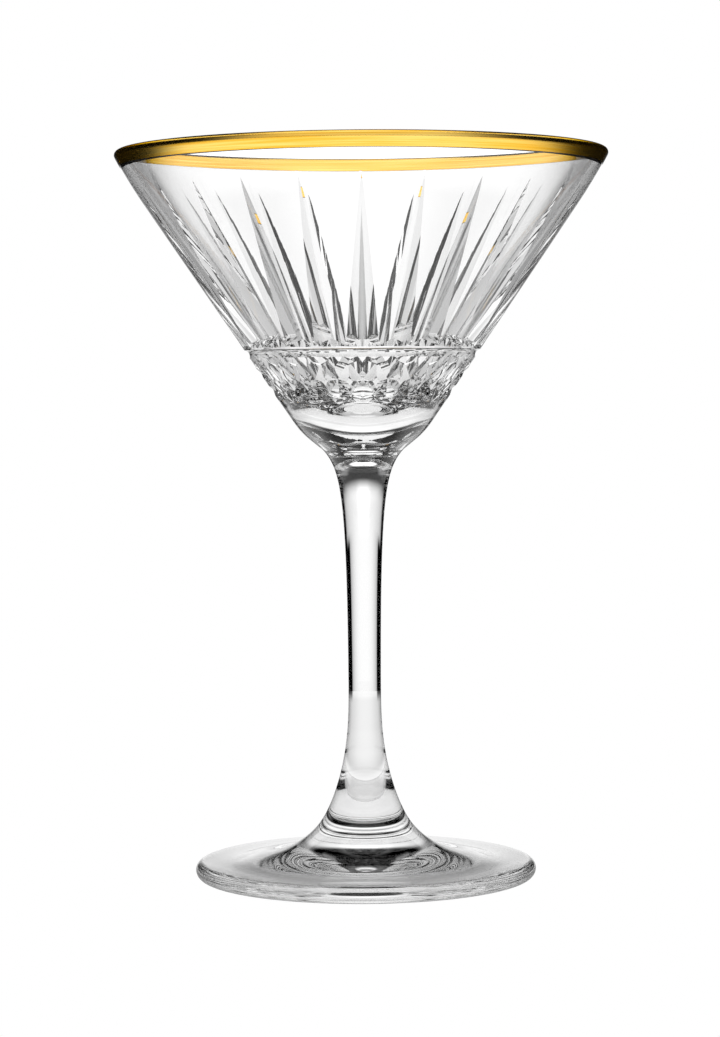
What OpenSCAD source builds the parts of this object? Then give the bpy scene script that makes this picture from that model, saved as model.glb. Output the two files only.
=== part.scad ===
// Stemmed cocktail glass in pressed clear glass with a fired-on gold rim.
// +Z is up and the origin is on the axis, at the surface the glass stands on.
// Three pressings are fire-welded into one: the cut bowl, the solid stem and
// the foot. The gold is burnished over the lip afterwards.

/* [Bowl] */
// Height of the glass from the table to the top of the lip
glass_h = 171.7; // [169:0.1:174]
// Diameter of the glass over the lip
lip_d = 116; // [114:0.5:118]
// Radius that the lip is fire-polished to
lip_r = 0.95; // [0.8:0.05:1.1]
// Angle between the outside of the bowl and the upright
bowl_angle = 34.2; // [33.8:0.1:34.5]
// Angle between the outside and the inside of the bowl wall
wall_taper = 2.2; // [2:0.1:2.4]
// Angle that the wall stands up by as it nears the lip
lip_turn = 6.2; // [5:0.1:7]
// Radius of the curve that stands the wall up
lip_curve = 120; // [110:1:130]
// Radius of the round bottom of the cavity
cavity_r = 24; // [22:0.5:26]

/* [Cut pattern] */
// Number of cuts round the bowl
cuts = 24; // [22:2:26]
// Height of the points of the long cuts
cut_tip_z = 163.6; // [160:0.1:165]
// Height of the foot of the long cuts, where they meet the ring
cut_foot_z = 125.4; // [125:0.1:127]
// Depth of a long cut at its foot, square to the wall
cut_depth = 2.0; // [1.8:0.1:2.1]
// Slope of a cut's two faces against the wall
facet_angle = 26; // [25:1:28]
// Slope of the face that closes the foot of a long cut
end_angle = 65; // [55:1:75]
// Top and bottom heights of the ring below the long cuts
ring_top_z = 125; // [124.8:0.1:125]
ring_bottom_z = 121.2; // [121:0.1:121.4]
// Depth that the ring is let into the wall
ring_depth = 0.37; // [0.2:0.01:0.5]
// Height of the bottom edge of the diamond band
diamond_bottom_z = 113.6; // [113.2:0.1:114]
// Depth of the crossed cuts that make the diamonds
diamond_depth = 1.1; // [0.8:0.05:1.2]
// Half width of a crossed cut at the surface
diamond_half_w = 2.1; // [1.8:0.1:2.3]

/* [Stem] */
// Height of the weld between the bowl and the stem
top_weld_z = 105.5; // [105:0.1:106]
// Height where the bowl starts to round in under the diamonds
seat_z = 108; // [107.8:0.1:108.2]
// Radius of the rounding under the bowl
seat_r = 20; // [18:0.5:22]
// Angle between the seat under the bowl and the upright
seat_angle = 51; // [50:0.5:52]
// Radius of the corner where the seat meets the neck
corner_r = 9.5; // [9.2:0.1:9.8]
// Radius of the stem at its waist
waist_r = 3.8; // [3.4:0.1:4.2]
// Part of the neck's flare that fades slowly down the stem
neck_slow = 3.2; // [2.8:0.1:3.5]
// Height where the stem starts to spread towards the foot
spread_z = 45; // [42:1:48]

/* [Foot] */
// Height of the weld between the stem and the foot
foot_weld_z = 12; // [11.8:0.1:12.2]
// Radius of the stem at the foot weld
foot_weld_r = 11.5; // [11:0.1:12]
// Diameter of the foot
foot_d = 80.8; // [78:0.2:84]
// Thickness of the foot at its rounded edge
foot_edge = 3.9; // [3.5:0.1:4.2]
// Radius inside which the underside is hollowed
hollow_r = 32; // [30:1:34]
// Height of the hollow at the axis
hollow_h = 1.8; // [1.4:0.1:2.2]

/* [Gold rim] */
// Height that the gold reaches down from the lip, inside and outside
gold_h = 3.5; // [2.5:0.1:4.5]
// Thickness of the gold, made thick enough to be a solid
gold_t = 0.1; // [0.06:0.01:0.15]

/* [Hidden] */
$fn = 96;
ARC_STEPS = 10;          // flats along each short curve of an outline
STEM_STEPS = 40;         // flats along the stem
GLASS_COLOR = [0.86, 0.91, 0.93, 0.45];
GOLD_COLOR = [0.83, 0.66, 0.27];
REACH = 20;              // how far a cutter stands out of the wall

// Outlines are [radius, height]. A direction is the angle between an outline and
// the upright, so an arc of radius r about c passes c + r * out(a) at direction a.
function out(a) = [cos(a), -sin(a)];
function arc(c, r, a0, a1, n = ARC_STEPS) = [for (i = [0:n]) c + r * out(a0 + (a1 - a0) * i / n)];
function fall(p, a, z) = [p[0] + (z - p[1]) * tan(a), z];
function reversed(v) = [for (i = [len(v) - 1:-1:0]) v[i]];

// Outside and inside of the wall: both touch the lip's circle, curve, then run straight.
lip_c = [lip_d / 2 - lip_r, glass_h - lip_r];
lip_angle = bowl_angle - lip_turn;
outer_c = lip_c - (lip_curve - lip_r) * out(lip_angle);
inner_lip_angle = lip_angle + wall_taper;
inner_angle = bowl_angle + wall_taper;
inner_c = lip_c - (lip_curve + lip_r) * out(inner_lip_angle);
outer_end = outer_c + lip_curve * out(bowl_angle);
inner_end = inner_c + lip_curve * out(inner_angle);
function wall_at(z) = fall(outer_end, bowl_angle, z);

// Round bottom of the cavity: a ball that touches the inner cone.
inner_apex_z = inner_end[1] - inner_end[0] / tan(inner_angle);
cavity_c = [0, inner_apex_z + cavity_r / sin(inner_angle)];

// Seat: the bowl rounds in, then runs straight to the corner above the neck.
seat_start = wall_at(seat_z);
seat_c = seat_start - seat_r * out(bowl_angle);
weld_angle = asin((seat_c[1] - top_weld_z) / seat_r);
seat_end = seat_c + seat_r * out(seat_angle);
corner_z = seat_end[1] - (seat_end[0] - corner_r) / tan(seat_angle);

// Ring: sunk square to the wall, with a sloping shoulder above it.
RING_SHOULDER = 1.7;
ring_in = wall_at(ring_top_z - RING_SHOULDER) - ring_depth * out(bowl_angle);

// Long cuts, laid out along the wall from their points downwards.
cut_run = (cut_tip_z - cut_foot_z) / cos(bowl_angle);
END_RUN = cut_depth / tan(end_angle);
cut_tilt = atan(cut_depth / (cut_run - END_RUN));

// Diamonds: one crossing for each cut, at the middle height of the band.
diamond_z = (ring_bottom_z + diamond_bottom_z) / 2;
diamond_half_h = (ring_bottom_z - diamond_bottom_z) / 2 / cos(bowl_angle);
diamond_half_pitch = wall_at(diamond_z)[0] * tan(180 / cuts);
diamond_lean = atan(diamond_half_pitch / diamond_half_h);

// Stem radius: a waist, a flare with a slow and a quick part above, a spread below.
SLOW_FADE = 14;
QUICK_FADE = 3.5;
TOE = 0.65;
TOE_FADE = 2;
SPREAD_POWER = 2.5;
neck_quick = corner_r - waist_r - neck_slow;
spread_amount = foot_weld_r - waist_r - TOE;
function neck(d) = neck_slow * exp(-d / SLOW_FADE) + neck_quick * exp(-d / QUICK_FADE);
function spread(z) = spread_amount * pow(max(0, (spread_z - z) / (spread_z - foot_weld_z)), SPREAD_POWER)
    + TOE * exp((foot_weld_z - z) / TOE_FADE);
function stem_r(z) = waist_r + neck(corner_z - z) + spread(z);

// Foot: its top falls away from the weld and levels out at the rounded edge.
FOOT_FADE = 7.07;
foot_edge_r = foot_d / 2 - foot_edge / 2;
foot_left = exp((foot_weld_r - foot_edge_r) / FOOT_FADE);
function foot_top(r) = foot_edge + (foot_weld_z - foot_edge)
    * (exp((foot_weld_r - r) / FOOT_FADE) - foot_left) / (1 - foot_left);
hollow_ball = (hollow_r * hollow_r + hollow_h * hollow_h) / (2 * hollow_h);
hollow_span = asin(hollow_r / hollow_ball);

// Directions where the gold stops on the outside and on the inside.
gold_z = glass_h - gold_h;
gold_out_angle = asin((outer_c[1] - gold_z) / lip_curve);
gold_in_angle = asin((inner_c[1] - gold_z) / lip_curve);

// Places a cutter on the outside of the wall at height z and turn a:
// +Z points out of the glass, +Y points down along the wall.
module on_wall(z, a) {
    rotate([0, 0, a]) translate([0, -wall_at(z)[0], z]) rotate([bowl_angle, 0, 0])
        rotate([90, 0, 0]) mirror([0, 1, 0]) children();
}

// A V-shaped cutter of the given length, with its edge along +Y.
module vee(len, slope) {
    half = REACH / 2 / tan(slope);
    rotate([-90, 0, 0]) linear_extrude(len) polygon([[0, 0], [half, -REACH / 2], [-half, -REACH / 2]]);
}

// One long cut: its edge sinks into the wall, and a sloping face closes its foot.
module long_cut() {
    difference() {
        rotate([-cut_tilt, 0, 0]) vee(cut_run + END_RUN, facet_angle);
        translate([-REACH, cut_run, 0]) rotate([end_angle - 90, 0, 0])
            translate([0, 0, -REACH]) cube([2 * REACH, REACH, 2 * REACH]);
    }
}

// One arm of the crossed cuts, through the middle of the band and kept inside it.
module diamond_cut(lean) {
    intersection() {
        rotate([0, 0, lean]) translate([0, -2 * diamond_half_h, -diamond_depth])
            vee(4 * diamond_half_h, atan(diamond_depth / diamond_half_w));
        translate([-REACH / 2, -diamond_half_h, -REACH / 2]) cube([REACH, 2 * diamond_half_h, REACH]);
    }
}

module bowl() {
    outline = concat(
        arc(outer_c, lip_curve, lip_angle, bowl_angle),
        [wall_at(ring_top_z), ring_in, wall_at(ring_bottom_z)],
        arc(seat_c, seat_r, bowl_angle, weld_angle),
        [[0, top_weld_z]],
        reversed(arc(cavity_c, cavity_r, inner_angle, 90)),
        reversed(arc(inner_c, lip_curve, inner_lip_angle, inner_angle)),
        arc(lip_c, lip_r, inner_lip_angle - 180, lip_angle));
    color(GLASS_COLOR) difference() {
        rotate_extrude() polygon(outline);
        for (i = [0:cuts - 1]) {
            on_wall(cut_tip_z, i * 360 / cuts) long_cut();
            on_wall(diamond_z, i * 360 / cuts) diamond_cut(diamond_lean);
            on_wall(diamond_z, i * 360 / cuts) diamond_cut(-diamond_lean);
        }
    }
}

module stem() {
    outline = concat(
        [[0, top_weld_z]],
        arc(seat_c, seat_r, weld_angle, seat_angle, 4),
        [for (i = [0:STEM_STEPS]) let (z = corner_z - (corner_z - foot_weld_z) * i / STEM_STEPS) [stem_r(z), z]],
        [[0, foot_weld_z]]);
    color(GLASS_COLOR) rotate_extrude() polygon(outline);
}

module foot() {
    outline = concat(
        [[0, foot_weld_z]],
        [for (i = [0:ARC_STEPS]) let (r = foot_weld_r + (foot_edge_r - foot_weld_r) * i / ARC_STEPS) [r, foot_top(r)]],
        arc([foot_edge_r, foot_edge / 2], foot_edge / 2, -80, 90),
        arc([0, hollow_h - hollow_ball], hollow_ball, hollow_span - 90, -90));
    color(GLASS_COLOR) rotate_extrude() polygon(outline);
}

module gold_band() {
    outline = concat(
        reversed(arc(inner_c, lip_curve, inner_lip_angle, gold_in_angle)),
        arc(lip_c, lip_r, inner_lip_angle - 180, lip_angle),
        arc(outer_c, lip_curve, lip_angle, gold_out_angle),
        arc(outer_c, lip_curve + gold_t, gold_out_angle, lip_angle),
        arc(lip_c, lip_r + gold_t, lip_angle, inner_lip_angle - 180),
        arc(inner_c, lip_curve - gold_t, inner_lip_angle, gold_in_angle));
    color(GOLD_COLOR) rotate_extrude() polygon(outline);
}

bowl();
stem();
foot();
gold_band();
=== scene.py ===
import math

import bmesh
import bpy
from mathutils import Matrix, Quaternion, Vector


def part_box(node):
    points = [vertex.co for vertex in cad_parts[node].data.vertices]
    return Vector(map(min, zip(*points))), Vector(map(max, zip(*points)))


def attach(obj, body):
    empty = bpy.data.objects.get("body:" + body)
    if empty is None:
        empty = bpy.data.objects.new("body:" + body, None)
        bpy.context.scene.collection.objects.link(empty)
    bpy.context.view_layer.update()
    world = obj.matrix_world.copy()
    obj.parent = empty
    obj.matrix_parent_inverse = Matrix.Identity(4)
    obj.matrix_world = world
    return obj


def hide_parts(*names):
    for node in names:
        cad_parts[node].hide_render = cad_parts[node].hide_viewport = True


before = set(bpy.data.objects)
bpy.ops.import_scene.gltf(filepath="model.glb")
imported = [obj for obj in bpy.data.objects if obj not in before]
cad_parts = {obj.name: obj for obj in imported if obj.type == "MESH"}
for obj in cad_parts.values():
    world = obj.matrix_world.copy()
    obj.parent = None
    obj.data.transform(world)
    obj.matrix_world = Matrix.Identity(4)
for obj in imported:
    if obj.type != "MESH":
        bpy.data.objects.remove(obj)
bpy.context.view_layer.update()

MM = 0.001

# ---------------------------------------------------------------- bowl
# The bowl is one pressing of clear soda-lime glass: a conical wall that thins towards a
# fire-polished lip, 24 long V cuts, a sunk ring and a band of pressed diamonds, over a
# thick rounded base that is welded to the stem.

bowl_low, bowl_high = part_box("bowl")
LIP_TOP = bowl_high.z
LIP_RADIUS = bowl_high.x
UPPER_WELD = bowl_low.z
LIP_ROUND = 0.95 * MM
BOWL_ANGLE = math.radians(34.2)
WALL_TAPER = math.radians(2.2)
LIP_TURN = math.radians(6.2)
LIP_CURVE = 120 * MM
CAVITY_ROUND = 24 * MM
SEAT_START = 108 * MM
SEAT_ROUND = 20 * MM
# The ring is a rounded groove here; the solid part has it V-shaped, lower and shallower.
RING_TOP = 125 * MM
RING_BOTTOM = 123.1 * MM
RING_DEPTH = 0.5 * MM
RING_STEPS = 8
DIAMOND_TOP = 121.2 * MM
CUTS = 24
CUT_TIP = 163.6 * MM
CUT_FOOT = 125.4 * MM
CUT_DEPTH = 2.0 * MM
FACET_ANGLE = math.radians(26)
CUT_END_ANGLE = math.radians(65)
DIAMOND_BOTTOM = 113.6 * MM
DIAMOND_DEPTH = 1.1 * MM
DIAMOND_HALF_WIDTH = 2.1 * MM
CUTTER_REACH = 6 * MM
TURNS_PER_HALF_SHARE = 12
SPARE_TURNS = 2


def square_to(direction):
    """Unit step out of an outline that leans this far from the upright, as (radius, height)."""
    return Vector((math.cos(direction), -math.sin(direction)))


def swept(centre, radius, start, end, steps):
    """Arc of an outline, from one direction to another."""
    return [centre + radius * square_to(start + (end - start) * i / steps) for i in range(steps + 1)]


lip_centre = Vector((LIP_RADIUS - LIP_ROUND, LIP_TOP - LIP_ROUND))
lip_outer_angle = BOWL_ANGLE - LIP_TURN
lip_inner_angle = lip_outer_angle + WALL_TAPER
cavity_angle = BOWL_ANGLE + WALL_TAPER
outer_centre = lip_centre - (LIP_CURVE - LIP_ROUND) * square_to(lip_outer_angle)
inner_centre = lip_centre - (LIP_CURVE + LIP_ROUND) * square_to(lip_inner_angle)
wall_start = outer_centre + LIP_CURVE * square_to(BOWL_ANGLE)
cavity_start = inner_centre + LIP_CURVE * square_to(cavity_angle)
cavity_apex = cavity_start.y - cavity_start.x / math.tan(cavity_angle)
cavity_centre = Vector((0, cavity_apex + CAVITY_ROUND / math.sin(cavity_angle)))


def wall_at(height):
    """Point of the bowl's outside at a height, as (radius, height)."""
    return Vector((wall_start.x + (height - wall_start.y) * math.tan(BOWL_ANGLE), height))


seat_centre = wall_at(SEAT_START) - SEAT_ROUND * square_to(BOWL_ANGLE)
weld_angle = math.asin((seat_centre.y - UPPER_WELD) / SEAT_ROUND)
ring_line = []
for i in range(RING_STEPS + 1):
    down = i / RING_STEPS
    inward = 4 * RING_DEPTH * down * (1 - down)
    on_line = wall_at(RING_TOP).lerp(wall_at(RING_BOTTOM), down)
    ring_line.append(on_line - inward * square_to(BOWL_ANGLE))
bowl_outline = (
    swept(outer_centre, LIP_CURVE, lip_outer_angle, BOWL_ANGLE, 10)
    + ring_line
    + [wall_at(DIAMOND_BOTTOM)]
    + swept(seat_centre, SEAT_ROUND, BOWL_ANGLE, weld_angle, 12)
    + [Vector((0, UPPER_WELD))]
    + swept(cavity_centre, CAVITY_ROUND, math.pi / 2, cavity_angle, 24)
    + swept(inner_centre, LIP_CURVE, cavity_angle, lip_inner_angle, 10)
    + swept(lip_centre, LIP_ROUND, lip_inner_angle - math.pi, lip_outer_angle, 16)[1:-1]
)


def turned(outline, first, last, steps):
    """Solid made by turning an outline about the axis; a part turn is closed by flat ends."""
    whole = abs(last - first) > 1.99 * math.pi
    count = steps if whole else steps + 1
    made = bmesh.new()
    rings = []
    for point in outline:
        if abs(point.x) < 1e-9:
            rings.append([made.verts.new((0, 0, point.y))] * count)
            continue
        turns = [first + (last - first) * i / steps for i in range(count)]
        rings.append([made.verts.new((point.x * math.cos(a), point.x * math.sin(a), point.y)) for a in turns])
    for here, there in zip(rings, rings[1:] + rings[:1]):
        for i in range(steps):
            corners = [here[i], here[(i + 1) % count], there[(i + 1) % count], there[i]]
            corners = list(dict.fromkeys(corners))
            if len(corners) > 2:
                made.faces.new(corners)
    if not whole:
        made.faces.new([ring[0] for ring in rings])
        made.faces.new([ring[-1] for ring in rings])
    bmesh.ops.recalc_face_normals(made, faces=made.faces)
    return made


def as_object(made, name):
    """Object that holds a finished bmesh."""
    mesh = bpy.data.meshes.new(name)
    made.to_mesh(mesh)
    made.free()
    thing = bpy.data.objects.new(name, mesh)
    bpy.context.scene.collection.objects.link(thing)
    return thing


def on_wall(height, turn):
    """Placing of a cutter on the wall: +Y runs down the wall and +Z out of the glass."""
    spot = wall_at(height)
    down = Vector((0, math.sin(BOWL_ANGLE), -math.cos(BOWL_ANGLE)))
    away = Vector((0, -math.cos(BOWL_ANGLE), -math.sin(BOWL_ANGLE)))
    across = down.cross(away)
    place = Matrix((across, down, away)).transposed().to_4x4()
    place.translation = (0, -spot.x, spot.y)
    return Matrix.Rotation(turn, 4, "Z") @ place


def vee(near, far, slope, place):
    """V-shaped cutter. near and far are the (y, z) ends of its edge, each with the y where
    that end comes out at the top of the cutter."""
    made = bmesh.new()
    ends = []
    for (y, z), top_y in (near, far):
        half = (CUTTER_REACH - z) / math.tan(slope)
        points = [(0, y, z), (half, top_y, CUTTER_REACH), (-half, top_y, CUTTER_REACH)]
        ends.append([made.verts.new(place @ Vector(p)) for p in points])
    a, b = ends
    made.faces.new(a)
    made.faces.new(b)
    for i in range(3):
        made.faces.new([a[i], a[(i + 1) % 3], b[(i + 1) % 3], b[i]])
    bmesh.ops.recalc_face_normals(made, faces=made.faces)
    return as_object(made, "cutter")


def cut_away(blank, cutter):
    """Takes a cutter's shape out of the blank and throws the cutter away."""
    step = blank.modifiers.new("cut", "BOOLEAN")
    step.operation = "DIFFERENCE"
    step.solver = "EXACT"
    step.object = cutter
    graph = bpy.context.evaluated_depsgraph_get()
    mesh = bpy.data.meshes.new_from_object(blank.evaluated_get(graph))
    blank.modifiers.clear()
    blank.data = mesh
    bpy.data.objects.remove(cutter)


# Half a share of the bowl, from the middle of a cut to the middle of a panel, is made with
# its cuts a little too wide, trimmed to size, and then mirrored and turned all round.
share = 2 * math.pi / CUTS
front = -math.pi / 2
spare = SPARE_TURNS * (share / 2) / TURNS_PER_HALF_SHARE
turns = TURNS_PER_HALF_SHARE + 2 * SPARE_TURNS
made = turned(bowl_outline, front - spare, front + share / 2 + spare, turns)
blank = as_object(made, "half_share")

cut_run = (CUT_TIP - CUT_FOOT) / math.cos(BOWL_ANGLE)
end_run = CUT_DEPTH / math.tan(CUT_END_ANGLE)
end_top = cut_run + CUTTER_REACH / math.tan(CUT_END_ANGLE)
long_cut = (((0, 0), 0), ((cut_run - end_run, -CUT_DEPTH), end_top))
cut_away(blank, vee(*long_cut, FACET_ANGLE, on_wall(CUT_TIP, 0)))

diamond_middle = (DIAMOND_TOP + DIAMOND_BOTTOM) / 2
diamond_half_height = (DIAMOND_TOP - DIAMOND_BOTTOM) / 2 / math.cos(BOWL_ANGLE)
diamond_lean = math.atan(wall_at(diamond_middle).x * math.tan(share / 2) / diamond_half_height)
diamond_slope = math.atan(DIAMOND_DEPTH / DIAMOND_HALF_WIDTH)
arm = diamond_half_height / math.cos(diamond_lean)
crossed_cut = (((-arm, -DIAMOND_DEPTH), -arm), ((arm, -DIAMOND_DEPTH), arm))
for turn in (0, share):
    for lean in (diamond_lean, -diamond_lean):
        place = on_wall(diamond_middle, turn) @ Matrix.Rotation(lean, 4, "Z")
        cut_away(blank, vee(*crossed_cut, diamond_slope, place))

made = bmesh.new()
made.from_mesh(blank.data)
bpy.data.objects.remove(blank)
NEAR_ENOUGH = 0.002 * MM
ON_PLANE = 1e-8
for side, outward in ((front, -1), (front + share / 2, 1)):
    across = outward * Vector((-math.sin(side), math.cos(side), 0))
    for vertex in made.verts:
        if abs(vertex.co @ across) < 2 * NEAR_ENOUGH:
            vertex.co -= (vertex.co @ across) * across
    everything = made.verts[:] + made.edges[:] + made.faces[:]
    bmesh.ops.bisect_plane(made, geom=everything, dist=ON_PLANE, plane_no=across, clear_outer=True)
bmesh.ops.remove_doubles(made, verts=made.verts, dist=NEAR_ENOUGH)
bmesh.ops.dissolve_degenerate(made, edges=made.edges, dist=NEAR_ENOUGH / 2)
half_share = bpy.data.meshes.new("half_share")
made.to_mesh(half_share)
made.free()
made = bmesh.new()
for i in range(CUTS):
    for mirror in (1, -1):
        before = len(made.verts)
        made.from_mesh(half_share)
        made.verts.ensure_lookup_table()
        place = Matrix.Rotation(i * share, 4, "Z") @ Matrix.Diagonal((mirror, 1, 1, 1))
        bmesh.ops.transform(made, matrix=place, verts=made.verts[before:])
open_edges = [e for e in made.edges if len(e.link_faces) == 1]
seams = list(dict.fromkeys(v for e in open_edges for v in e.verts))
bmesh.ops.remove_doubles(made, verts=seams, dist=NEAR_ENOUGH)
loose = [e for e in made.edges if not e.link_faces]
bmesh.ops.delete(made, geom=loose, context="EDGES")
bmesh.ops.recalc_face_normals(made, faces=made.faces)


def smoothed(made, name, crease, weld_heights):
    """Finished piece: round stretches shade smooth, creases stay sharp, weld faces take slot 1."""
    for face in made.faces:
        face.smooth = True
        flat_on_weld = all(any(abs(v.co.z - h) < 0.001 * MM for h in weld_heights) for v in face.verts)
        face.material_index = 1 if flat_on_weld else 0
    for edge in made.edges:
        if len(edge.link_faces) == 2:
            edge.smooth = edge.calc_face_angle(0) < crease
    return as_object(made, name)


bowl = smoothed(made, "bowl_glass", math.radians(9), [UPPER_WELD])


# Group for the fine marks of hand-finished pressed glass and brushed gold: a slow ripple, and
# streaks that run up the piece or round it. Height is in millimetres.
tree = bpy.data.node_groups.new("marks", "ShaderNodeTree")
marks = tree
for name, value in (("Around", 50), ("Upward", 30), ("Ripple", 0.01), ("Streaks", 0.002)):
    socket = tree.interface.new_socket(name, in_out="INPUT", socket_type="NodeSocketFloat")
    socket.default_value = value
for name in ("Height", "Shade"):
    tree.interface.new_socket(name, in_out="OUTPUT", socket_type="NodeSocketFloat")


def value_of(kind, *inputs):
    """Adds a Math node to the tree in hand and wires or sets its inputs."""
    node = tree.nodes.new("ShaderNodeMath")
    node.operation = kind
    for socket, value in zip(node.inputs, inputs):
        if isinstance(value, (int, float)):
            socket.default_value = value
        else:
            tree.links.new(value, socket)
    return node.outputs[0]


given = tree.nodes.new("NodeGroupInput")
spot = tree.nodes.new("ShaderNodeTexCoord").outputs["Object"]
split = tree.nodes.new("ShaderNodeSeparateXYZ")
tree.links.new(spot, split.inputs[0])
turn = value_of("ARCTAN2", split.outputs["Y"], split.outputs["X"])
stretched = tree.nodes.new("ShaderNodeCombineXYZ")
across = value_of("MULTIPLY", value_of("COSINE", turn), given.outputs["Around"])
tree.links.new(across, stretched.inputs["X"])
across = value_of("MULTIPLY", value_of("SINE", turn), given.outputs["Around"])
tree.links.new(across, stretched.inputs["Y"])
upward = value_of("MULTIPLY", split.outputs["Z"], given.outputs["Upward"])
tree.links.new(upward, stretched.inputs["Z"])
streaks = tree.nodes.new("ShaderNodeTexNoise")
streaks.inputs["Scale"].default_value = 1
streaks.inputs["Detail"].default_value = 2
tree.links.new(stretched.outputs[0], streaks.inputs["Vector"])
ripple = tree.nodes.new("ShaderNodeTexNoise")
ripple.inputs["Scale"].default_value = 90
ripple.inputs["Detail"].default_value = 1
tree.links.new(spot, ripple.inputs["Vector"])
lift = value_of("MULTIPLY", ripple.outputs["Fac"], given.outputs["Ripple"])
lift = value_of("MULTIPLY_ADD", streaks.outputs["Fac"], given.outputs["Streaks"], lift)
result = tree.nodes.new("NodeGroupOutput")
tree.links.new(lift, result.inputs["Height"])
tree.links.new(streaks.outputs["Fac"], result.inputs["Shade"])


def add_marks(material, **values):
    """Puts the marks in a material, bumps its surface with them and returns the group node."""
    nodes = material.node_tree.nodes
    links = material.node_tree.links
    used = nodes.new("ShaderNodeGroup")
    used.node_tree = marks
    for name, value in values.items():
        used.inputs[name].default_value = value
    bump = nodes.new("ShaderNodeBump")
    bump.inputs["Distance"].default_value = MM
    links.new(used.outputs["Height"], bump.inputs["Height"])
    links.new(bump.outputs["Normal"], nodes["Principled BSDF"].inputs["Normal"])
    return used


def glass(name, **values):
    """Clear pressed glass, a little darker where it is looked along: painted shade, a tint that draws its
    dark edges.
    """
    material = bpy.data.materials.new(name)
    material.use_nodes = True
    nodes = material.node_tree.nodes
    links = material.node_tree.links
    shader = nodes["Principled BSDF"]
    shader.inputs["Roughness"].default_value = 0.0
    shader.inputs["IOR"].default_value = 1.51
    shader.inputs["Transmission Weight"].default_value = 1
    # Painted shade: the tint runs from white to near black as the surface is seen more edge-on.
    edge = nodes.new("ShaderNodeLayerWeight")
    edge.inputs["Blend"].default_value = 0.5
    painted_edge_shade = nodes.new("ShaderNodeValToRGB")
    painted_edge_shade.color_ramp.elements[0].position = 0.4
    painted_edge_shade.color_ramp.elements[0].color = (1, 1, 1, 1)
    painted_edge_shade.color_ramp.elements[1].position = 1.0
    painted_edge_shade.color_ramp.elements[1].color = (0.03, 0.03, 0.033, 1)
    links.new(edge.outputs["Facing"], painted_edge_shade.inputs["Fac"])
    links.new(painted_edge_shade.outputs["Color"], shader.inputs["Base Color"])
    add_marks(material, **values)
    return material


def weld_face(name):
    """Where two gathers are welded: no surface is left, so light goes straight on."""
    material = bpy.data.materials.new(name)
    material.use_nodes = True
    nodes = material.node_tree.nodes
    nodes.clear()
    clear = nodes.new("ShaderNodeBsdfTransparent")
    end = nodes.new("ShaderNodeOutputMaterial")
    material.node_tree.links.new(clear.outputs[0], end.inputs["Surface"])
    return material


bowl_material = glass("bowl_glass", Around=60, Upward=10, Ripple=0.002, Streaks=0.0008)
weld_material = weld_face("welded_glass")
bowl.data.materials.append(bowl_material)
bowl.data.materials.append(weld_material)
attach(bowl, "root")
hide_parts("bowl")

# ---------------------------------------------------------------- stem
# The stem is a solid drawn and pressed rod of the same glass. A short seat spreads under
# the bowl to a corner, the neck narrows to a waist, and the foot end spreads again.

LOWER_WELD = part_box("stem")[0].z
SEAT_ANGLE = math.radians(51)
CORNER_RADIUS = 9.5 * MM
WAIST_RADIUS = 3.8 * MM
NECK_SLOW = 3.2 * MM
SLOW_FADE = 14 * MM
QUICK_FADE = 3.5 * MM
SPREAD_TOP = 45 * MM
SPREAD_POWER = 2.5
FOOT_END_RADIUS = 11.5 * MM
TOE = 0.65 * MM
TOE_FADE = 2 * MM
STEM_STEPS = 180
STEM_TURNS = 160

seat_end = seat_centre + SEAT_ROUND * square_to(SEAT_ANGLE)
corner_height = seat_end.y - (seat_end.x - CORNER_RADIUS) / math.tan(SEAT_ANGLE)


def stem_radius(height):
    """Radius of the stem: a waist, a flare with a slow and a quick part above, a spread below."""
    down = corner_height - height
    flare = NECK_SLOW * math.exp(-down / SLOW_FADE)
    flare += (CORNER_RADIUS - WAIST_RADIUS - NECK_SLOW) * math.exp(-down / QUICK_FADE)
    low = max(0, (SPREAD_TOP - height) / (SPREAD_TOP - LOWER_WELD))
    spread = (FOOT_END_RADIUS - WAIST_RADIUS - TOE) * low ** SPREAD_POWER
    return WAIST_RADIUS + flare + spread + TOE * math.exp((LOWER_WELD - height) / TOE_FADE)


stem_outline = [Vector((0, UPPER_WELD))]
stem_outline += swept(seat_centre, SEAT_ROUND, weld_angle, SEAT_ANGLE, 8)
for i in range(STEM_STEPS + 1):
    height = corner_height + (LOWER_WELD - corner_height) * i / STEM_STEPS
    stem_outline.append(Vector((stem_radius(height), height)))
stem_outline.append(Vector((0, LOWER_WELD)))
made = turned(stem_outline, 0, 2 * math.pi, STEM_TURNS)
stem = smoothed(made, "stem_glass", math.radians(9), [UPPER_WELD, LOWER_WELD])
stem.data.materials.append(glass("stem_glass", Around=8, Upward=20, Ripple=0.004, Streaks=0.002))
stem.data.materials.append(weld_material)
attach(stem, "root")
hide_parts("stem")

# ---------------------------------------------------------------- foot
# The foot is a pressed disc with a fire-polished edge. Its top falls away from the weld and
# levels out, and its underside is hollowed inside the ring that it stands on.

foot_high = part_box("foot")[1]
FOOT_RADIUS = foot_high.x
FOOT_EDGE = 3.9 * MM
FOOT_FADE = 7.07 * MM
HOLLOW_RADIUS = 32 * MM
HOLLOW_HEIGHT = 1.8 * MM
FOOT_STEPS = 120
FOOT_TURNS = 288

edge_radius = FOOT_RADIUS - FOOT_EDGE / 2
left_over = math.exp((FOOT_END_RADIUS - edge_radius) / FOOT_FADE)


def foot_top(radius):
    """Height of the foot's upper side."""
    fall = (math.exp((FOOT_END_RADIUS - radius) / FOOT_FADE) - left_over) / (1 - left_over)
    return FOOT_EDGE + (LOWER_WELD - FOOT_EDGE) * fall


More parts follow.
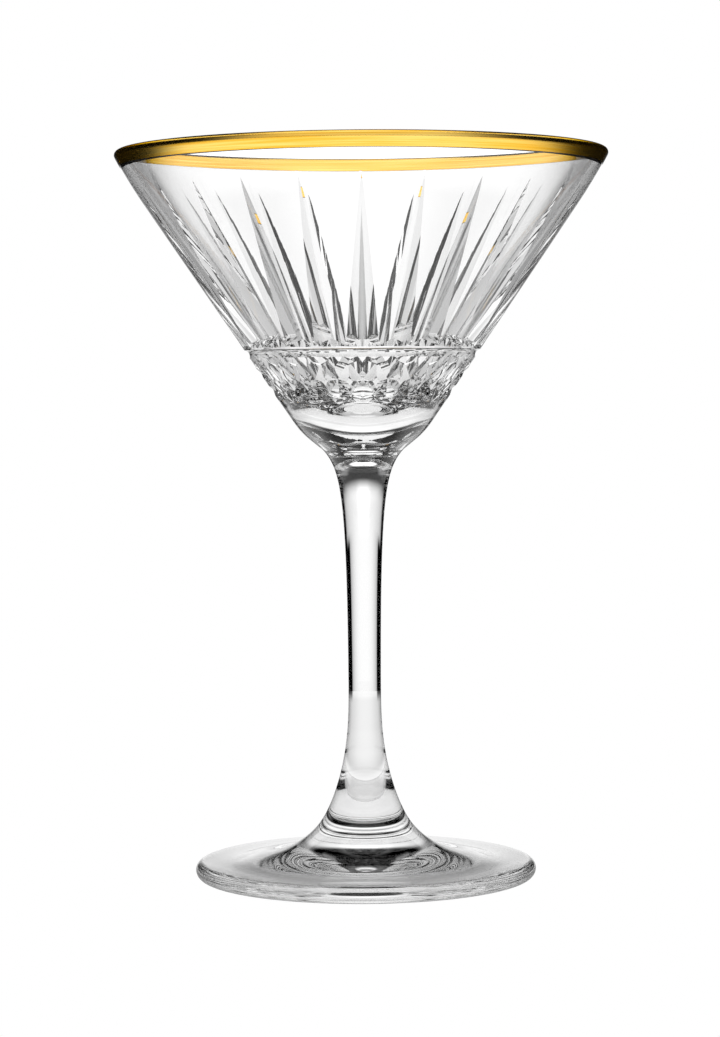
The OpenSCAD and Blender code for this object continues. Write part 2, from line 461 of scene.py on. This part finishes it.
foot_outline = [Vector((0, LOWER_WELD))]
for i in range(FOOT_STEPS):
    radius = FOOT_END_RADIUS + (edge_radius - FOOT_END_RADIUS) * i / FOOT_STEPS
    foot_outline.append(Vector((radius, foot_top(radius))))
foot_outline += swept(Vector((edge_radius, FOOT_EDGE / 2)), FOOT_EDGE / 2, -math.pi / 2, math.pi / 2, 24)
hollow_ball = (HOLLOW_RADIUS ** 2 + HOLLOW_HEIGHT ** 2) / (2 * HOLLOW_HEIGHT)
hollow_span = math.asin(HOLLOW_RADIUS / hollow_ball)
hollow_centre = Vector((0, HOLLOW_HEIGHT - hollow_ball))
foot_outline += swept(hollow_centre, hollow_ball, hollow_span - math.pi / 2, -math.pi / 2, 96)
made = turned(foot_outline, 0, 2 * math.pi, FOOT_TURNS)
foot = smoothed(made, "foot_glass", math.radians(12), [LOWER_WELD])
foot.data.materials.append(glass("foot_glass", Around=6, Upward=20, Ripple=0.002, Streaks=0.0002))
foot.data.materials.append(weld_material)
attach(foot, "root")
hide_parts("foot")

# ---------------------------------------------------------------- gold rim
# Liquid gold brushed over the lip and fired on: it wraps the outside, the top and the inside
# as one thin film, with fine streaks that run round the glass where the brush went.

GOLD_HEIGHT = 3.5 * MM
INNER_STOP_SHORT = 0.35 * MM
GOLD_OUT = 0.08 * MM
GOLD_IN = 0.02 * MM
GOLD_TURNS = 480

gold_stop = LIP_TOP - GOLD_HEIGHT
gold_outer_stop = math.asin((outer_centre.y - gold_stop) / LIP_CURVE)
gold_inner_stop = math.asin((inner_centre.y - gold_stop - INNER_STOP_SHORT) / LIP_CURVE)


def lip_line(lift):
    """Line over the lip, from the cavity to the outside, lifted off the glass."""
    line = swept(inner_centre, LIP_CURVE - lift, gold_inner_stop, lip_inner_angle, 8)
    line += swept(lip_centre, LIP_ROUND + lift, lip_inner_angle - math.pi, lip_outer_angle, 16)[1:-1]
    return line + swept(outer_centre, LIP_CURVE + lift, lip_outer_angle, gold_outer_stop, 8)


air_side = lip_line(GOLD_OUT)
glass_side = lip_line(-GOLD_IN)[::-1]
made = turned(air_side + glass_side, 0, 2 * math.pi, GOLD_TURNS)
gold = smoothed(made, "gold_rim", math.radians(40), [])
for face in gold.data.polygons:
    face.material_index = 0 if face.index < (len(air_side) - 1) * GOLD_TURNS else 1

material = bpy.data.materials.new("rim_gold")
material.use_nodes = True
shader = material.node_tree.nodes["Principled BSDF"]
shader.inputs["Metallic"].default_value = 1
# Painted shade: a black edge tint darkens the gold where it is seen at a slant.
shader.inputs["Specular Tint"].default_value = (0, 0, 0, 1)
brushed = add_marks(material, Around=2, Upward=2500, Ripple=0, Streaks=0.004)
colour = material.node_tree.nodes.new("ShaderNodeValToRGB")
colour.color_ramp.elements[0].position = 0.35
colour.color_ramp.elements[0].color = (0.93, 0.5, 0.045, 1)
colour.color_ramp.elements[1].position = 0.65
colour.color_ramp.elements[1].color = (0.98, 0.68, 0.17, 1)
polish = material.node_tree.nodes.new("ShaderNodeMapRange")
polish.inputs["To Min"].default_value = 0.3
polish.inputs["To Max"].default_value = 0.16
links = material.node_tree.links
links.new(brushed.outputs["Shade"], colour.inputs["Fac"])
links.new(brushed.outputs["Shade"], polish.inputs["Value"])
links.new(colour.outputs["Color"], shader.inputs["Base Color"])
links.new(polish.outputs["Result"], shader.inputs["Roughness"])
gold.data.materials.append(material)

material = bpy.data.materials.new("fired_underside")
material.use_nodes = True
shader = material.node_tree.nodes["Principled BSDF"]
shader.inputs["Base Color"].default_value = (0.06, 0.055, 0.05, 1)
shader.inputs["Metallic"].default_value = 0
shader.inputs["Roughness"].default_value = 0.6
gold.data.materials.append(material)
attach(gold, "root")
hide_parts("gold_band")

# ---------------------------------------------------------------- table and studio
# A round table a hair below the glass and a studio round it. Both are plain white to the camera
# and give off their own light. The glass sees two drawn patterns instead, one for the light
# that goes through it and one for the light that it mirrors; no real studio parts the two.

TABLE_RADIUS = 430 * MM
TABLE_DROP = 0.1 * MM
GROUND_LIGHT = 0.52
GROUND_GAIN_BEHIND = 0.35
# Painted shadow: the two levels below make the table dimmer under and round the glass.
UNDER_GLASS_LIGHT = 0.75
UNDER_FOOT_LIGHT = 0.84
UNDER_FOOT_GAIN = 0.12
FAR_EDGE_DIM = 0.95
FAR_EDGE_GAIN_BEHIND = 0.17
MIRRORED_TABLE_LIGHT = 0.4
MIRRORED_TABLE_GAIN = 0.85
made = bmesh.new()
bmesh.ops.create_circle(made, cap_ends=True, segments=128, radius=TABLE_RADIUS)
bmesh.ops.translate(made, vec=(0, 0, -TABLE_DROP), verts=made.verts)
table = as_object(made, "table")
material = bpy.data.materials.new("pale_table")
material.use_nodes = True
tree = material.node_tree
links = tree.links


def fade(value, dark, bright):
    """Smooth step from 0 at dark to 1 at bright."""
    node = tree.nodes.new("ShaderNodeMapRange")
    node.interpolation_type = "SMOOTHSTEP"
    tree.links.new(value, node.inputs["Value"])
    node.inputs["From Min"].default_value = dark
    node.inputs["From Max"].default_value = bright
    return node.outputs["Result"]


def turn_fade(value, dark, bright):
    """The same for a direction, with both ends in degrees."""
    return fade(value, math.radians(dark), math.radians(bright))


split = tree.nodes.new("ShaderNodeSeparateXYZ")
links.new(tree.nodes.new("ShaderNodeTexCoord").outputs["Object"], split.inputs[0])
x, y, z = split.outputs
azimuth = value_of("ABSOLUTE", value_of("ARCTAN2", x, y))
distance = value_of("SQRT", value_of("MULTIPLY_ADD", x, x, value_of("MULTIPLY", y, y)))


def ground_light():
    """Light of the ground against azimuth, as it is seen through the glass."""
    return value_of("MULTIPLY_ADD", turn_fade(azimuth, 75, 0), GROUND_GAIN_BEHIND, GROUND_LIGHT)


# Painted shadow: as the glass sees it, the table is dimmer under the foot and round it, most of all near the
# middle.
under = fade(distance, 35 * MM, 90 * MM)
under = value_of("MULTIPLY_ADD", under, 1 - UNDER_GLASS_LIGHT, UNDER_GLASS_LIGHT)
far_ground = value_of("MULTIPLY", ground_light(), under)
near_light = fade(distance, 20 * MM, 45 * MM)
near_light = value_of("MULTIPLY_ADD", near_light, UNDER_FOOT_GAIN, UNDER_FOOT_LIGHT)
near = fade(distance, 62 * MM, 46 * MM)
through = value_of("SUBTRACT", near_light, far_ground)
through = value_of("MULTIPLY_ADD", near, through, far_ground)
beside = value_of("MULTIPLY", turn_fade(azimuth, 35, 41), fade(distance, 300 * MM, 425 * MM))
through = value_of("MULTIPLY", through, value_of("MULTIPLY_ADD", beside, -FAR_EDGE_DIM, 1))
behind = value_of("MULTIPLY", turn_fade(azimuth, 40, 30), fade(distance, 340 * MM, TABLE_RADIUS))
through = value_of("MULTIPLY_ADD", behind, FAR_EDGE_GAIN_BEHIND, through)
around = fade(distance, 60 * MM, 110 * MM)
around = value_of("MULTIPLY", around, fade(distance, TABLE_RADIUS, 280 * MM))
mirror = value_of("MULTIPLY_ADD", around, MIRRORED_TABLE_GAIN, MIRRORED_TABLE_LIGHT)
mirror = value_of("MULTIPLY", mirror, fade(distance, TABLE_RADIUS, 300 * MM))
mirrored = tree.nodes.new("ShaderNodeLightPath").outputs["Is Reflection Ray"]
table_light = value_of("MULTIPLY_ADD", mirrored, value_of("SUBTRACT", mirror, through), through)
shader = tree.nodes["Principled BSDF"]
shader.inputs["Base Color"].default_value = (0.05, 0.05, 0.05, 1)
shader.inputs["Roughness"].default_value = 0.9
shader.inputs["Specular IOR Level"].default_value = 0
shader.inputs["Emission Strength"].default_value = 1
links.new(table_light, shader.inputs["Emission Color"])
bright = tree.nodes.new("ShaderNodeEmission")
pick = tree.nodes.new("ShaderNodeMixShader")
links.new(tree.nodes.new("ShaderNodeLightPath").outputs["Is Camera Ray"], pick.inputs[0])
links.new(shader.outputs[0], pick.inputs[1])
links.new(bright.outputs[0], pick.inputs[2])
links.new(pick.outputs[0], tree.nodes["Material Output"].inputs["Surface"])
table.data.materials.append(material)

BACKDROP_LIGHT = 1.04
GLOW_LIGHT = 0.25
HOOP_LIGHT = 1.45
HOOP_TILT = math.radians(20)
HOOP_REACH = 0.705
HOOP_SEEN_THROUGH = 0.2
SIDE_LIGHT = 0.7
FRONT_LIGHT = 0.9
ZENITH_LIGHT = 1.2
world = bpy.data.worlds.new("studio")
bpy.context.scene.world = world
world.use_nodes = True
tree = world.node_tree
tree.nodes.clear()
where = tree.nodes.new("ShaderNodeTexCoord").outputs["Generated"]
split = tree.nodes.new("ShaderNodeSeparateXYZ")
tree.links.new(where, split.inputs[0])
x, y, z = split.outputs
azimuth = value_of("ABSOLUTE", value_of("ARCTAN2", x, y))
elevation = value_of("ARCSINE", z)


def falling(fall, at, power, dark, bright):
    """Light of the backdrop against azimuth: it falls off sideways, then stops."""
    part = value_of("POWER", value_of("DIVIDE", azimuth, math.radians(at)), power)
    part = value_of("MULTIPLY_ADD", part, -fall, BACKDROP_LIGHT)
    return value_of("MULTIPLY", part, turn_fade(azimuth, dark, bright))


low_part = falling(0.46, 33, 2.85, 38.5, 36)
high_part = falling(0.35, 40, 1.7, 56, 46)
rise = turn_fade(elevation, 0.3, 1.8)
backdrop = value_of("MULTIPLY_ADD", rise, value_of("SUBTRACT", high_part, low_part), low_part)
backdrop = value_of("MULTIPLY", backdrop, turn_fade(elevation, 16, 6))
glow = value_of("MULTIPLY", turn_fade(azimuth, 14, 5), turn_fade(elevation, 0, 3))
glow = value_of("MULTIPLY", glow, turn_fade(elevation, 16, 7))
light = value_of("MULTIPLY_ADD", glow, GLOW_LIGHT, backdrop)
mirrored = tree.nodes.new("ShaderNodeLightPath").outputs["Is Reflection Ray"]
above_ground = turn_fade(elevation, -7.3, -6.3)
through = value_of("SUBTRACT", light, ground_light())
through = value_of("MULTIPLY_ADD", above_ground, through, ground_light())
mirror = value_of("MULTIPLY", light, turn_fade(azimuth, 16, 7))

toward = tree.nodes.new("ShaderNodeVectorMath")
toward.operation = "DOT_PRODUCT"
tree.links.new(where, toward.inputs[0])
toward.inputs[1].default_value = (0, math.sin(HOOP_TILT), math.cos(HOOP_TILT))
off_hoop = value_of("ABSOLUTE", value_of("SUBTRACT", toward.outputs["Value"], HOOP_REACH))
hoop = value_of("MULTIPLY", fade(off_hoop, 0.1, 0.06), turn_fade(azimuth, 22, 32))
mirror = value_of("MULTIPLY_ADD", hoop, HOOP_LIGHT, mirror)
through = value_of("MULTIPLY_ADD", hoop, HOOP_SEEN_THROUGH, through)
beside = value_of("ABSOLUTE", value_of("SUBTRACT", azimuth, math.radians(90)))
beside = turn_fade(beside, 18, 9)
up_from_ground = value_of("MULTIPLY", turn_fade(elevation, 16, 6), above_ground)
beside = value_of("MULTIPLY", value_of("MULTIPLY", beside, up_from_ground), SIDE_LIGHT)
through = value_of("MAXIMUM", through, beside)
front_part = value_of("MULTIPLY", turn_fade(azimuth, 100, 150), FRONT_LIGHT)
mirror = value_of("MAXIMUM", mirror, front_part)
light = value_of("MULTIPLY_ADD", mirrored, value_of("SUBTRACT", mirror, through), through)
zenith = value_of("MULTIPLY", turn_fade(elevation, 60, 68), ZENITH_LIGHT)
light = value_of("MAXIMUM", light, zenith)

seen = tree.nodes.new("ShaderNodeBackground")
tree.links.new(light, seen.inputs["Color"])
plain = tree.nodes.new("ShaderNodeBackground")
plain.inputs["Color"].default_value = (1, 1, 1, 1)
pick = tree.nodes.new("ShaderNodeMixShader")
tree.links.new(tree.nodes.new("ShaderNodeLightPath").outputs["Is Camera Ray"], pick.inputs[0])
tree.links.new(seen.outputs[0], pick.inputs[1])
tree.links.new(plain.outputs[0], pick.inputs[2])
tree.links.new(pick.outputs[0], tree.nodes.new("ShaderNodeOutputWorld").inputs["Surface"])

scene = bpy.context.scene
scene.view_settings.view_transform = "Standard"
scene.cycles.max_bounces = 32
scene.cycles.transmission_bounces = 32
scene.cycles.glossy_bounces = 32
scene.cycles.transparent_max_bounces = 64

# ---------------------------------------------------------------- camera
# Just above the middle of the bowl's base, so the lip is seen from below and the foot from above.

CAMERA_DISTANCE = 686 * MM
CAMERA_HEIGHT = 115.6 * MM
AIM_HEIGHT = 85.1 * MM
CAMERA_SHIFT = -0.85 * MM
camera_data = bpy.data.cameras.new("camera")
camera_data.lens = 100.6
camera_data.sensor_width = 36
camera = bpy.data.objects.new("camera", camera_data)
scene.collection.objects.link(camera)
camera.location = (CAMERA_SHIFT, -CAMERA_DISTANCE, CAMERA_HEIGHT)
aim = Vector((CAMERA_SHIFT, 0, AIM_HEIGHT)) - camera.location
camera.rotation_mode = "QUATERNION"
ROLL = math.radians(0.4)
camera.rotation_quaternion = aim.to_track_quat("-Z", "Y") @ Quaternion((0, 0, 1), -ROLL)
scene.camera = camera
